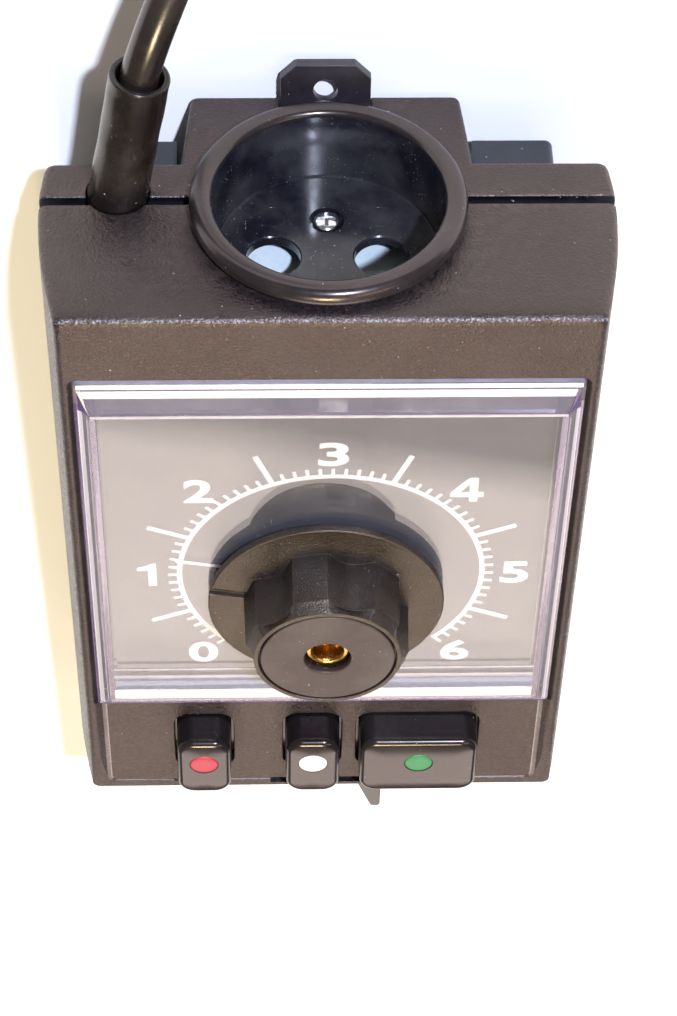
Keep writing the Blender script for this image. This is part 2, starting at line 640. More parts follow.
cut(front,
    # the range slider's slot, and a notch in the rim above it
    block(-10.4, 12.9, -69.0, -60.5, -3.2, -0.6),
    block(-10.4, 12.9, -67.0, -65.6, 0.3, 4.0),
    outlet_hole(), *sleeve_holes(),
    *[rod(SCREW_HOLE_R, -26.0, -13.0, 16, place) for place in CASE_SCREWS])


def on_key_lip(centre, normal):
    """The sloping lip round the key recess's floor."""
    x, y, z = abs(centre.x), centre.y, centre.z
    return (1.305 < z < 1.79 and -66.0 < y < -37.6 and 0.2 < normal.z < 0.97
            and (z < 1.42 or y > -65.5) and x < 43.5 and (x > 42.4 or y < -65.7))


paint(front, ("abs_grained", "moulded_lip"), on_key_lip)
piece(front, None, "case", "front_shell", sharp=28.0)

# -------------------------------------------------------------- back shell
# z, half width, y0, y1
BACK = ((-24.9, 48.5, -67.3, 71.0), (-26.35, 48.5, -67.3, 71.0),
        (-26.4, 49.8, -68.6, 72.3), (-26.62, 50.0, CASE_START, CASE_END),
        (-28.0, 50.0, CASE_START, CASE_END), (-31.0, 49.7, -68.6, CASE_END),
        (-33.2, 49.45, -68.4, CASE_END), (-34.2, 49.2, -68.2, 72.4),
        (-34.7, 48.85, -67.9, 72.1), (-34.93, 48.5, -67.5, 71.75),
        (-35.0, 48.1, -67.1, 71.3))
BACK_HOLLOW = ((-22.0, 50.0, CASE_START, CASE_END), (-28.0, 50.0, CASE_START, CASE_END),
               (-32.6, 49.5, -68.5, CASE_END))


def heel_block(inset, sole):
    """The block under the outlet end, down to a sole parallel to the bench."""
    def outline(half):
        half -= inset
        return rounded_rect(-half, half, 48.0 + inset, CASE_END - inset, 1.2, 5)
    return loft([ring_at(outline(26.0), -31.0), bench_ring(outline(24.1), sole + 0.35),
                 bench_ring(outline(23.9), sole)])


def tab_screw_hole():
    return on_bench(rod(SCREW_HOLE_R, -4.0, 6.0, 20), 0.0, 55.0)


back = solid("case_back", shell(BACK))
join(back, heel_block(inset=0.0, sole=0.0))
cut(back, shell(BACK_HOLLOW, WALL), heel_block(inset=WALL, sole=4.9),
    block(-36.0, 36.0, -36.0, 45.0, -37.0, -31.0, 2.0, 4))
join(back, *[rod(3.3, -33.6, -24.9, 24, place) for place in CASE_SCREWS])
for place in CASE_SCREWS:
    cut(back, rod(SCREW_HOLE_R, -36.0, -24.0, 16, place), rod(3.0, -36.0, -32.9, 24, place))
for place in COVER_SCREWS:
    join(back, rod(3.0, -33.6, -27.5, 20, place))
    cut(back, rod(SCREW_HOLE_R, -36.0, -28.6, 16, place))
TAB_SLOT = ((8.35, 50.5), (8.35, 74.0), (-8.35, 74.0), (-8.35, 50.5))
cut(back, outlet_hole(), along_y(rod(INSERT_R + 0.5, 40.0, 60.0, 48), z=SOCKET_Z),
    *sleeve_holes(),
    loft([bench_ring(TAB_SLOT, above) for above in (-2.0, 2.3)]), tab_screw_hole())
# the dark seam between the two shells
paint(back, ("abs_grained", "seam_shadow"), lambda centre, _: -26.42 < centre.z < -24.0)
piece(back, None, "case", "back_shell", sharp=28.0)


# ------------------------------------------------- hanging tab, rear cover
def tab_ring(inset, above):
    x, tip, chamfer = 8.05 - inset, 81.0 - inset, (2.85, 2.9)
    return bench_ring(((x, 51.0 + inset), (x, tip - chamfer[1]), (x - chamfer[0], tip),
                       (-x + chamfer[0], tip), (-x, tip - chamfer[1]), (-x, 51.0 + inset)),
                      above)


# inset, height above the sole
TAB_EDGES = ((0.22, 0.0), (0.06, 0.06), (0.0, 0.22), (0.0, 1.78), (0.06, 1.94), (0.22, 2.0))
TAB_HOLE = ((2.45, -4.0), (2.45, 0.0), (2.2, 0.25), (2.2, 1.75), (2.45, 2.0), (2.45, 6.0))
tab = solid("wall_tab", loft([tab_ring(inset, above) for inset, above in TAB_EDGES]))
cut(tab, on_bench(lathe(TAB_HOLE, 48), 0.0, 75.4), tab_screw_hole())
piece(tab, "tab_satin", "case", "hanging_tab", sharp=25.0)

COVER_ABOVE, COVER_ROUND = 2.0, 0.6
cover_rings = [ring_at(rounded_rect(-41, 41, -43, 65, 1.5, 8), -35.3)]
for k in range(6):
    angle = math.radians(90.0 * k / 5)
    inset = COVER_ROUND * (1 - math.cos(angle))
    rise = COVER_ROUND * (1 - math.sin(angle))
    cover_rings.append(bench_ring(
        rounded_rect(-41 + inset, 41 - inset, -43 + inset, 65 - inset, 1.5 - inset, 8),
        COVER_ABOVE + rise))
cover = solid("back_cover", loft(cover_rings))
inside = rounded_rect(-38.6, 38.6, -12.0, 62.6, 2.0, 4)
cut(cover, loft([ring_at(inside, -30.0), bench_ring(inside, 4.0)]),
    block(-26.5, 26.5, 47.5, 70.0, -60.0, -30.0))  # round the heel block
FEET = ((-33.5, 55.5), (33.5, 55.5), (-33.5, -32.0), (33.5, -32.0))
for x, y in FEET:
    cut(cover, on_bench(rod(4.8, -4.0, 0.8, 40), x, y, COVER_ABOVE))
for place in COVER_SCREWS:
    cut(cover, rod(SCREW_HOLE_R, -40.0, -30.0, 16, place))
piece(cover, "abs_smooth", "case", "rear_cover", sharp=28.0)


def rounded(profile, radius, steps):
    """Round the corners of an open (radius, z) profile."""
    out = [profile[0]]
    for points in zip(profile[:-2], profile[1:-1], profile[2:]):
        before, corner, after = (Vector(p) for p in points)
        start = corner + (before - corner).normalized() * radius
        end = corner + (after - corner).normalized() * radius
        for k in range(steps + 1):
            t = k / steps
            out.append(tuple((1 - t) ** 2 * start + 2 * t * (1 - t) * corner + t * t * end))
    return out + [profile[-1]]


FOOT = ((0.5, -3.5), (4.4, -3.5), (4.4, 0.5), (0.5, 0.5))
for k, (x, y) in enumerate(FEET):
    foot = lathe([(0.0, -3.5)] + rounded(FOOT, radius=0.6, steps=5) + [(0.0, 0.5)], 48)
    piece(solid("rubber_foot_%d" % (k + 1), on_bench(foot, x, y, COVER_ABOVE)),
          "rubber_black", "case", "foot_%d" % (k + 1))

# ------------------------------------------------------------ dial, print
PRINT_X, PRINT_Y, FACE_Z = 1.0, 0.65, -0.6
SCALE_R = 28.2
PRINT_Z = 0.06  # thickness of the print
FIGURE_R = SCALE_R * 1.215
FIGURE_HEIGHT = 6.4

dial = solid("dial_face", block(-41.3, 41.3, -35.1, 54.7, -1.5, FACE_Z, 0.9, 5))
cut(dial, rod(5.3, -3.0, 2.0, 48))
piece(dial, "dial_satin_black", "case", "dial_plate")


def flat_strip(points, top=PRINT_Z):
    """Flat closed outline raised from the dial."""
    return loft([ring_at(points, z) for z in (0.0, top)])


def tick(degrees, r0, r1, width):
    angle = math.radians(degrees)
    c, s = math.cos(angle), math.sin(angle)
    half = width / 2
    return flat_strip([(r0 * c + half * s, r0 * s - half * c),
                       (r1 * c + half * s, r1 * s - half * c),
                       (r1 * c - half * s, r1 * s + half * c),
                       (r0 * c - half * s, r0 * s + half * c)])


def arc_band(r0, r1, start, end, steps):
    """A flat ring sector between two angles in degrees."""
    angles = [math.radians(start + (end - start) * k / steps) for k in range(steps + 1)]
    shape = bmesh.new()
    low_in, low_out, top_in, top_out = [
        [shape.verts.new((radius * math.cos(a), radius * math.sin(a), z)) for a in angles]
        for z in (0.0, PRINT_Z) for radius in (r0, r1)]
    for a, b in ((low_out, low_in), (top_in, top_out), (low_in, top_in), (top_out, low_out)):
        for i in range(steps):
            shape.faces.new((a[i], b[i], b[i + 1], a[i + 1]))
    shape.faces.new((low_in[0], low_out[0], top_out[0], top_in[0]))
    shape.faces.new((low_in[-1], top_in[-1], top_out[-1], low_out[-1]))
    bmesh.ops.recalc_face_normals(shape, faces=shape.faces)
    return shape


def printed(name, parts):
    shape = moved(merged(*parts), PRINT_X, PRINT_Y, FACE_Z)
    piece(solid(name, shape), "dial_print_white", "case",
          weighted=False)


# one printed tick every tenth, a long one halfway between the figures
parts = [arc_band(SCALE_R - 0.48, SCALE_R + 0.48, start=-45.4, end=225.4, steps=180)]
for k in range(61):
    reach, width = (1.295, 1.0) if k % 10 == 5 else (1.074, 0.62)
    parts.append(tick(225.0 - 4.5 * k, SCALE_R - 0.2, SCALE_R * reach, width))
printed("dial_scale", parts)


def figure(text, width):
    """A numeral's outline as a thin raised solid, centred on the origin."""
    curve = bpy.data.curves.new("figure", "FONT")
    curve.body = text
    curve.size = 10.0
    curve.offset = 0.27  # thickens the strokes
    curve.extrude = PRINT_Z / 2
    curve.resolution_u = 6
    obj = bpy.data.objects.new("figure", curve)
    bpy.context.scene.collection.objects.link(obj)
    bpy.context.view_layer.update()
    mesh = bpy.data.meshes.new_from_object(
        obj.evaluated_get(bpy.context.evaluated_depsgraph_get()))
    shape = bmesh.new()
    shape.from_mesh(mesh)
    bpy.data.objects.remove(obj)
    bpy.data.curves.remove(curve)
    bpy.data.meshes.remove(mesh)
    low = [min(v.co[i] for v in shape.verts) for i in range(3)]
    high = [max(v.co[i] for v in shape.verts) for i in range(3)]
    for v in shape.verts:
        v.co.x = (v.co.x - (low[0] + high[0]) / 2) * width / (high[0] - low[0])
        v.co.y = (v.co.y - (low[1] + high[1]) / 2) * FIGURE_HEIGHT / (high[1] - low[1])
        v.co.z -= low[2]
    return shape


# x, y outlines of the two figures drawn by hand; the 4 is three strokes
ONE = ((0.25, -3.3), (1.75, -3.3), (1.75, 3.3), (0.55, 3.3), (0.2, 2.8),
       (-0.6, 2.4), (-1.75, 2.2), (-1.75, 1.15), (0.25, 1.35))
FOUR = (((0.45, -3.3), (1.95, -3.3), (1.95, 3.3), (0.45, 3.3)),
        ((-3.0, -2.0), (3.0, -2.0), (3.0, -0.75), (-3.0, -0.75)),
        ((-3.0, -0.8), (-1.35, -0.8), (0.8, 2.1), (0.8, 3.3), (0.3, 3.3)))
FONT_WIDTHS = {0: 5.6, 2: 5.4, 3: 5.5, 5: 5.3, 6: 5.5}
parts = []
for value in range(7):
    if value == 1:
        shape = flat_strip(ONE)
    elif value == 4:
        # each stroke a little lower, so that their tops don't coincide
        shape = merged(*[flat_strip(stroke, PRINT_Z - 0.004 * i)
                         for i, stroke in enumerate(FOUR)])
    else:
        shape = figure(str(value), FONT_WIDTHS[value])
    angle = math.radians(225.0 - 45.0 * value)
    parts.append(moved(shape, FIGURE_R * math.cos(angle), FIGURE_R * math.sin(angle)))
printed("dial_numerals", parts)

# ----------------------------------------------------------------- window
WINDOW_Y0, WINDOW_Y1 = -37.0, 56.6
STEP_Z, TOP_Z = 2.9, 4.3
# z, half width, y0, y1
WINDOW = ((1.6, 44.0, WINDOW_Y0, WINDOW_Y1), (2.78, 44.0, WINDOW_Y0, WINDOW_Y1),
          (STEP_Z, 43.88, WINDOW_Y0 + 0.12, WINDOW_Y1 - 0.12),
          (STEP_Z, 43.4, WINDOW_Y0 + 0.5, 53.0), (4.2, 41.68, WINDOW_Y0 + 2.3, 50.5),
          (TOP_Z, 41.5, WINDOW_Y0 + 2.5, 50.3))
window = solid("clear_window", shell(WINDOW, radius=0.9, steps=4))
cut(window, block(-39.8, 39.8, -32.6, 48.4, 0.0, 2.5, 0.8, 4),
    lathe(((6.6, 0.0), (6.6, TOP_Z - 0.3), (6.9, TOP_Z + 0.02), (6.9, 6.0)), 64))


def window_slot(centre, normal):
    """2 on the upright border faces, 1 on the risers, 0 elsewhere."""
    if not (abs(centre.x) > 41.0 or centre.y < -34.0 or centre.y > 50.0):
        return 0
    if abs(normal.z) < 0.2:
        return 2
    return centre.z > 2.95 and normal.z < 0.98


paint(window, ("acrylic_clear", "acrylic_riser", "acrylic_edge"), window_slot)
piece(window, None, "case", "dial_window", sharp=20.0)


def border_piece(name, shape, look):
    piece(solid(name, shape), look, "case", weighted=False)


def band(x0, x1, y0, y1, z):
    corner = min(0.12, (x1 - x0) * 0.3, (y1 - y0) * 0.3)
    return stack(((z, 0.0), (z + 0.02, 0.0), (z + 0.03, 0.02)), lambda inset: rounded_rect(
        x0 + inset, x1 - inset, y0 + inset, y1 - inset, corner, 2))


# the light caught in the window's moulded border, as thin bands on its steps
# object, material, boxes of x0, x1, y0, y1, z
BANDS = (
    ("border_white", "acrylic_bright", (
        (-43.5, 43.5, 55.35, 56.5, STEP_Z), (-42.7, 42.7, 53.05, 54.95, STEP_Z),
        (-43.45, -42.45, -35.9, 50.2, STEP_Z), (42.65, 43.45, -35.9, 50.2, STEP_Z),
        (-40.5, 40.5, -33.4, -30.5, TOP_Z))),
    ("border_pale", "acrylic_pale", (
        (-41.3, 41.3, 49.3, 49.98, TOP_Z), (-40.4, 40.4, -24.3, -23.5, TOP_Z),
        (-40.4, 40.4, -26.9, -25.7, TOP_Z), (-41.95, -41.65, -34.0, 49.0, 4.02),
        (41.6, 41.9, -34.0, 49.0, 4.02))),
    ("border_mauve", "acrylic_mauve", (
        (-41.45, -40.45, -33.9, 49.2, TOP_Z), (40.35, 41.45, -33.9, 49.2, TOP_Z),
        (43.5, 43.9, -36.4, 52.0, STEP_Z), (-40.5, 40.5, -34.4, -33.45, TOP_Z))),
    ("border_greyblue", "acrylic_greyblue", ((-40.3, 40.3, -30.3, -27.05, TOP_Z),)),
    ("border_violet", "acrylic_violet", (
        (-41.5, 41.5, 50.02, 50.3, TOP_Z), (-43.95, -43.55, -36.4, 52.0, STEP_Z),
        (-43.4, 43.4, -36.9, -36.55, STEP_Z), (-43.5, 43.5, 55.05, 55.3, STEP_Z))))
for name, look, boxes in BANDS:
    border_piece(name, merged(*[band(*box) for box in boxes]), look)
for side, sign in (("left", -1), ("right", 1)):
    # dark mitred corners beside the outlet end's riser
    corner = [(sign * 43.45, 55.0, STEP_Z + 0.02), (sign * 42.75, 55.0, STEP_Z + 0.02),
              (sign * 41.55, 50.35, 4.34), (sign * 43.2, 50.35, 3.05)]
    low = [(x, y, z - 0.12) for x, y, z in corner]
    border_piece("border_corner_" + side, loft([low, corner]), "acrylic_violet")

# ------------------------------------------------------------------- knob
SKIRT_R, GRIP_R = 21.85, 15.3
KNOB_STEPS = 288
POINTER = 168.75  # degrees
LOBE_STEP = math.tau / 6
LOBE_MID = math.radians(102.5)
LOBE_FLAT = math.radians(12.5)
SKIRT_ROUND = 0.3


def grip_radius(angle, rim, scallop):
    """Six slightly hollowed lobes with scallops between them."""
    off = abs((angle - LOBE_MID + LOBE_STEP / 2) % LOBE_STEP - LOBE_STEP / 2)
    if off <= LOBE_FLAT:
        return rim * (1.0 - 0.012 * (1.0 - (off / LOBE_FLAT) ** 2))
    t = (off - LOBE_FLAT) / (LOBE_STEP / 2 - LOBE_FLAT)
    return rim - scallop * (1.0 - (1.0 - t) ** 2)


def grip_ring(z, rim, scallop):
    ring = []
    for k in range(KNOB_STEPS):
        angle = math.tau * k / KNOB_STEPS
        radius = grip_radius(angle, rim, scallop)
        ring.append((radius * math.cos(angle), radius * math.sin(angle), z))
    return ring


# (radius, z) of the round parts: sleeve, skirt and the hollow top
profile = [(5.7, 2.6), (5.7, 5.6), (SKIRT_R - 0.35, 5.6)]
for k in range(1, 9):
    angle = math.radians(-90 + 22.5 * k)
    profile.append((SKIRT_R - 0.3 + SKIRT_ROUND * math.cos(angle),
                    (6.9 if k > 4 else 5.9) + SKIRT_ROUND * math.sin(angle)))
profile += [(SKIRT_R - 0.62, 7.16), (SKIRT_R - 0.9, 7.1)]
# z, rim radius, scallop depth
GRIP = ((7.08, GRIP_R + 0.35, 2.55), (7.18, GRIP_R + 0.08, 2.6), (7.5, GRIP_R, 2.6),
        (12.0, GRIP_R - 0.15, 2.55), (17.1, GRIP_R - 0.3, 2.5), (17.4, GRIP_R - 0.42, 2.42),
        (17.6, GRIP_R - 0.62, 2.2), (18.35, 14.28, 1.2), (19.15, 13.78, 0.38),
        (19.42, 13.62, 0.15))
KNOB_TOP = ((13.5, 19.54), (13.25, 19.6), (12.76, 19.6), (12.66, 19.48), (12.65, 18.3),
            (4.5, 18.3))
POINTER_GROOVE = ((6.2, 0.75), (6.95, 0.92), (7.15, 1.05), (9.2, 1.2))  # z, half width
knob = solid("timer_knob", loft([circle(radius, z, KNOB_STEPS) for radius, z in profile]
                                + [grip_ring(*row) for row in GRIP]
                                + [circle(radius, z, KNOB_STEPS) for radius, z in KNOB_TOP]))
groove = stack(POINTER_GROOVE, lambda half: rounded_rect(15.2, 24.0, -half, half, 0.2, 2))
cut(knob, rod(4.5, 0.0, 22.0, 64), rotated(groove, math.radians(POINTER), "Z"))
piece(knob, "knob_grained", "knob", "knob_body", sharp=24.0)

# the cap disc round the collet, with rounded outer and inner edges
CAP_R = 12.3
profile = [(4.15, 18.6), (CAP_R, 18.6), (CAP_R, 19.32)]
for degrees in (20, 40, 60, 80):
    angle = math.radians(degrees)
    profile.append((CAP_R - 0.25 * (1 - math.cos(angle)), 19.32 + 0.25 * math.sin(angle)))
profile += [(11.95, 19.58), (5.2, 19.54), (4.6, 19.56), (4.4, 19.5), (4.25, 19.36),
            (4.15, 19.1)]
piece(solid("knob_top_disc", lathe(profile, 160, closed=True)), "knob_cap_satin", "knob",
      "knob_cap", sharp=24.0)

# brass collet: set below the cap, bevelled lip, deep bore
# radius, z, knurl depth
COLLET = ((2.7, 14.4, 0), (2.7, 17.5, 0), (2.78, 17.65, 0), (3.0, 17.9, 0),
          (3.25, 18.0, 0), (3.7, 18.05, 0), (3.86, 18.0, 0), (3.92, 17.85, 0.11),
          (3.98, 17.75, 0.11), (4.2, 17.6, 0), (4.2, 5.0, 0), (3.3, 5.0, 0), (3.3, 14.4, 0))
rings = []
for outer, z, knurl in COLLET:
    ring = []
    for k in range(240):
        angle = math.tau * k / 240
        radius = outer - (knurl if k % 6 in (0, 1) else 0.0)
        ring.append((radius * math.cos(angle), radius * math.sin(angle), z))
    rings.append(ring)
piece(solid("knob_insert", loft(rings, closed=True)), "brass_turned", "knob",
      "knob_collet", sharp=35.0)

# cursor: a clear arm just above the dial, on a tube round the knob's sleeve
ARM_EDGES = ((-0.36, 0.08), (-0.30, 0.0), (0.02, 0.0), (0.08, 0.08))  # z, inset
HUB_R0, HUB_R1 = 5.75, 6.35
arm = solid("cursor_blade", stack(ARM_EDGES, lambda inset: rounded_rect(
    6.0 + inset, 28.8 - inset, -2.5 + inset, 2.5 - inset, 0.6, 5)))
join(arm, lathe(((HUB_R0, -0.34), (HUB_R1, -0.34), (HUB_R1, 4.4), (HUB_R0, 4.4)), 64,
                closed=True))
cut(arm, rod(HUB_R0, -2.0, 6.0, 64))
arm.data.transform(Matrix.Rotation(math.radians(POINTER), 4, "Z"))
piece(arm, "acrylic_thin", "knob", "cursor_arm", sharp=25.0)
line = block(12.0, 28.4, -0.38, 0.38, 0.08, 0.14, 0.15, 3)
piece(solid("cursor_line", rotated(line, math.radians(POINTER), "Z")), "dial_print_white",
      "knob", weighted=False)

# ----------------------------------------------------------------- buttons
KEY_MID = (KEY_Y1 + KEY_Y0) / 2
KEY_HALF_Y = (KEY_Y1 - KEY_Y0) / 2
KEY_ROUND = 1.42
SPOT_Y = -50.3
# (z, inset) up the side, round the edge and over the slightly crowned top
key_rows = [(-1.3, 0.0), (1.3, 0.0), (6.9, 0.12)]
for k in range(1, 10):
    angle = math.radians(9.0 * k)
    key_rows.append((6.9 + KEY_ROUND * math.sin(angle),
                     0.12 + KEY_ROUND * (1 - math.cos(angle))))
key_rows += [(8.42, 2.1), (8.53, 3.2), (8.58, 4.3), (8.6, 5.2)]
SPOT = ((0.0, 7.95), (2.79, 7.95), (2.79, 8.52), (2.74, 8.62), (2.62, 8.70),
        (2.35, 8.76), (1.7, 8.80), (0.85, 8.82), (0.0, 8.825))

for key, key_x, width, colour in BUTTONS:
    half = width / 2
    button = solid(key + "_cap", stack(key_rows, lambda inset: rounded_rect(
        -half + inset, half - inset, -KEY_HALF_Y + inset, KEY_HALF_Y - inset,
        max(0.15, KEY_CORNER - 0.62 * inset), 10)))
    # a flange under the panel and a plunger below it
    join(button, block(-half - 1.0, half + 1.0, -KEY_HALF_Y - 0.9, KEY_HALF_Y + 0.9,
                       -2.7, -1.25, 2.0, 4),
         rod(1.9, -8.6, -2.0, 20))
    cut(button, rod(2.87, 7.75, 12.0, 64, (0.0, SPOT_Y - KEY_MID)))
    button.data.transform(Matrix.Translation((key_x, KEY_MID, 0.0)))
    piece(button, "key_satin", key + "_key", key + "_button",
          sharp=26.0)
    piece(solid(key + "_spot", moved(lathe(SPOT, 64), key_x, SPOT_Y, -0.12)),
          "enamel_" + colour, key + "_key", key + "_dot")

# ------------------------------------------------------------ range slider
SLIDER_X, SLIDER_Y = 9.4, -72.0
# x from the slider's middle, y
FINGER = ((2.9, -68.65), (2.9, -77.0), (2.75, -77.5), (2.3, -77.8), (1.45, -77.8),
          (0.95, -77.45), (-2.2, -68.65))
# z, amount drawn in towards the middle
FINGER_EDGES = ((-2.9, 0.35), (-2.8, 0.08), (-2.6, 0.0), (0.2, 0.0), (0.42, 0.08),
                (0.5, 0.35))


def finger_outline(inset):
    points = [(SLIDER_X + x, y) for x, y in FINGER]
    return [(x + (SLIDER_X - x) * inset / 6.0, y + (SLIDER_Y - y) * inset / 9.0)
            for x, y in points]


slider = solid("range_finger", stack(FINGER_EDGES, finger_outline))
join(slider, block(SLIDER_X - 1.9, SLIDER_X + 2.6, -69.4, -62.8, -2.85, -1.25),
     block(SLIDER_X - 4.0, SLIDER_X + 4.0, -63.9, -62.2, -5.6, -1.25))
piece(slider, "gloss_black", "range_key", "range_slider", sharp=26.0)

# ------------------------------------------------------------------ outlet
RIM_R, WELL_R, FACE_Y, FLOOR_Y, BACK_Y = 24.0, 20.0, 77.0, 61.5, 59.5


def into_outlet(shape, x=0.0, z=SOCKET_Z):
    return along_y(shape, x, z)


# (radius, y): up the tube, over the rounded rim and down the well to its floor
profile = [(TUBE_R, BACK_Y), (TUBE_R, 74.1), (RIM_R - 0.5, 74.1), (RIM_R - 0.15, 74.25),
           (RIM_R, 74.6), (RIM_R, 75.0)]
for k in range(1, 10):
    angle = math.radians(10.0 * k)
    profile.append((RIM_R - 1.7 * (1 - math.cos(angle)), 75.0 + 1.95 * math.sin(angle)))
profile += [(RIM_R - 2.0, 76.99), (RIM_R - 2.3, FACE_Y), (RIM_R - 2.7, 76.97)]
for k in range(10):
    angle = math.radians(90.0 - 10.0 * k)
    profile.append((WELL_R + 1.15 - 1.15 * math.cos(angle), 75.75 + 1.2 * math.sin(angle)))
profile += [(WELL_R, 74.9), (WELL_R, FLOOR_Y + 0.5), (WELL_R - 0.06, FLOOR_Y + 0.25),
            (WELL_R - 0.2, FLOOR_Y + 0.06), (WELL_R - 0.45, FLOOR_Y)]
PIN_HOLE = ((4.8, 50.0), (4.8, FLOOR_Y - 0.25), (5.05, FLOOR_Y + 0.02), (5.05, 70.0))
BLANK_RING = ((2.55, 61.42), (2.55, 66.0), (2.35, 66.0), (2.35, 61.42))
well = solid("outlet_well", into_outlet(lathe(profile, 160)))
cut(well, *[into_outlet(lathe(PIN_HOLE, 64), x) for x in PINS_X],
    into_outlet(rod(1.7, 50.0, 70.0, 32), z=OUTLET_SCREW_Z),
    into_outlet(rod(3.1, 60.3, 70.0, 48), z=OUTLET_SCREW_Z),
    # shallow blank rings of the moulding under the pin holes
    *[into_outlet(lathe(BLANK_RING, 40, closed=True), x, z=-32.3) for x in PINS_X])

insert = solid("outlet_insert", into_outlet(rod(INSERT_R, 44.0, 54.4, 96)))
for x in PINS_X:
    cut(insert, into_outlet(rod(3.6, 40.0, 52.6, 32), x),
        into_outlet(rod(2.45, 50.0, 60.0, 48), x))
cut(insert, into_outlet(rod(1.75, 40.0, 60.0, 24), z=OUTLET_SCREW_Z))
piece(insert, "pale_ceramic", "case", "socket_insert", sharp=24.0)

CONTACT = ((2.5, 42.0), (3.2, 42.0), (3.2, 52.2), (2.9, 52.4), (2.5, 52.4))
for side, x in zip(("left", "right"), PINS_X):
    piece(solid("contact_tube_" + side, into_outlet(lathe(CONTACT, 48, closed=True), x)),
          "brass_plain", "case", "socket_contact_" + side)


def on_outlet_rim(centre, _):
    from_axis = math.hypot(centre.x, centre.z - SOCKET_Z)
    return centre.y > 75.4 or (centre.y > 72.0 and from_axis > 21.0)


paint(well, ("outlet_gloss", "outlet_ring"), on_outlet_rim)
piece(well, None, "case", "socket_well", sharp=24.0)

# cross-slotted screw in the well's floor: radius, y
SCREW = ((0.0, 51.0), (1.35, 51.6), (1.35, 60.6), (2.45, 60.6), (2.5, 60.72),
         (2.5, 61.05), (2.38, 61.32), (2.1, 61.55), (1.65, 61.75), (1.1, 61.88),
         (0.6, 61.94), (0.0, 61.95))
screw = solid("outlet_screw", into_outlet(lathe(SCREW, 64), z=OUTLET_SCREW_Z))
cut(screw, block(-0.33, 0.33, 61.1, 64.0, -33.2, -30.0),
    block(-1.6, 1.6, 61.1, 64.0, -31.93, -31.27))
piece(screw, "screw_bright", "case", "socket_screw", sharp=28.0)

# ----------------------------------------------------------- sleeve, cable
CABLE_R = 3.3


def sleeve_ring(radius, along, wobble=0.0):
    ring = []
    for k in range(56):
        angle = math.tau * k / 56
        here = radius * (1 + wobble * math.sin(3 * angle + along * 0.7))
        ring.append((here * math.cos(angle), here * math.sin(angle), along))
    return ring


rings = [sleeve_ring(BORE_R, -5.6), sleeve_ring(COLLAR_R, -5.6),
         sleeve_ring(COLLAR_R, -4.2), sleeve_ring(SLEEVE_R, -4.2),
         sleeve_ring(SLEEVE_R, 0.2)]
for k in range(1, 28):
    along = 0.2 + 26.4 * k / 28
    swell = 0.05 * math.sin(along * 0.35) + 0.01 * math.sin(along * 1.9 + 1.0)
    rings.append(sleeve_ring(SLEEVE_R - 0.12 + swell * 0.8, along, wobble=0.006))
for degrees in (0, 22.5, 45, 67.5, 90):
    angle = math.radians(degrees)
    rings.append(sleeve_ring(SLEEVE_R - 0.45 + 0.40 * math.cos(angle),
                             SLEEVE_LEN - 0.4 + 0.4 * math.sin(angle)))
rings += [sleeve_ring(4.45, SLEEVE_LEN), sleeve_ring(4.2, SLEEVE_LEN - 0.08),
          sleeve_ring(4.05, SLEEVE_LEN - 0.3), sleeve_ring(BORE_R, SLEEVE_LEN - 0.6)]
piece(solid("strain_sleeve", leaning(loft(rings, closed=True))), "sleeve_pvc", "case",
      "cable_sleeve")


def bench_point(x, y, z):
    """A point at height z over the bench, with x from the middle and y from the dial."""
    return TO_PANEL @ Vector((x * MM, y * MM + DIAL.y, z * MM))


def sleeve_point(along):
    return Vector((SLEEVE_BASE[0] + along * math.sin(SLEEVE_LEAN),
                   SLEEVE_BASE[1] + along * math.cos(SLEEVE_LEAN), SLEEVE_BASE[2]))


def sweep(points, radius, steps):
    """A round bar along a path."""
    rings = []
    for k, point in enumerate(points):
        before, after = points[max(k - 1, 0)], points[min(k + 1, len(points) - 1)]
        forward = (after - before).normalized()
        up = AXIS_X.cross(forward).normalized()
        across = forward.cross(up).normalized()
        rings.append([point + radius * (math.cos(t) * across + math.sin(t) * up)
                      for t in (math.tau * i / steps for i in range(steps))])
    return loft(rings)


# straight through the sleeve, then a Bezier curve down to the bench
mouth = sleeve_point(SLEEVE_LEN + 0.5)
way_out = math.radians(15.0)
controls = (mouth, mouth + 26.0 * Vector((math.sin(way_out), math.cos(way_out), 0.0)),
            bench_point(-10.0, 141.0, 5.0), bench_point(-2.0, 176.0, CABLE_R + 0.1))
path = [sleeve_point(along) for along in (-17.0, -12.0, -6.0, -1.0, 4.0, 10.0, 16.0, 22.0)]
for k in range(49):
    t = k / 48
    weights = ((1 - t) ** 3, 3 * t * (1 - t) ** 2, 3 * t * t * (1 - t), t ** 3)
    path.append(sum((p * weight for p, weight in zip(controls, weights)), Vector()))
piece(solid("power_cable", sweep(path, CABLE_R, 48)), "cable_pvc", "case", "mains_cable",
      sharp=40.0)

# the three cores just showing at the cut end
forward = (path[-1] - path[-3]).normalized()
up = AXIS_X.cross(forward).normalized()
for k, look in enumerate(("core_brown", "core_blue", "core_green")):
    angle = math.radians(90.0 + 120.0 * k)
    centre = path[-1] + 1.5 * (math.cos(angle) * AXIS_X + math.sin(angle) * up)
    start, end = centre - forward * 1.0, centre + forward * 0.06
    core = sweep([start, (start + end) / 2, end], 1.15, 24)
    piece(solid("cable_core_%d" % (k + 1), core), look, "case")

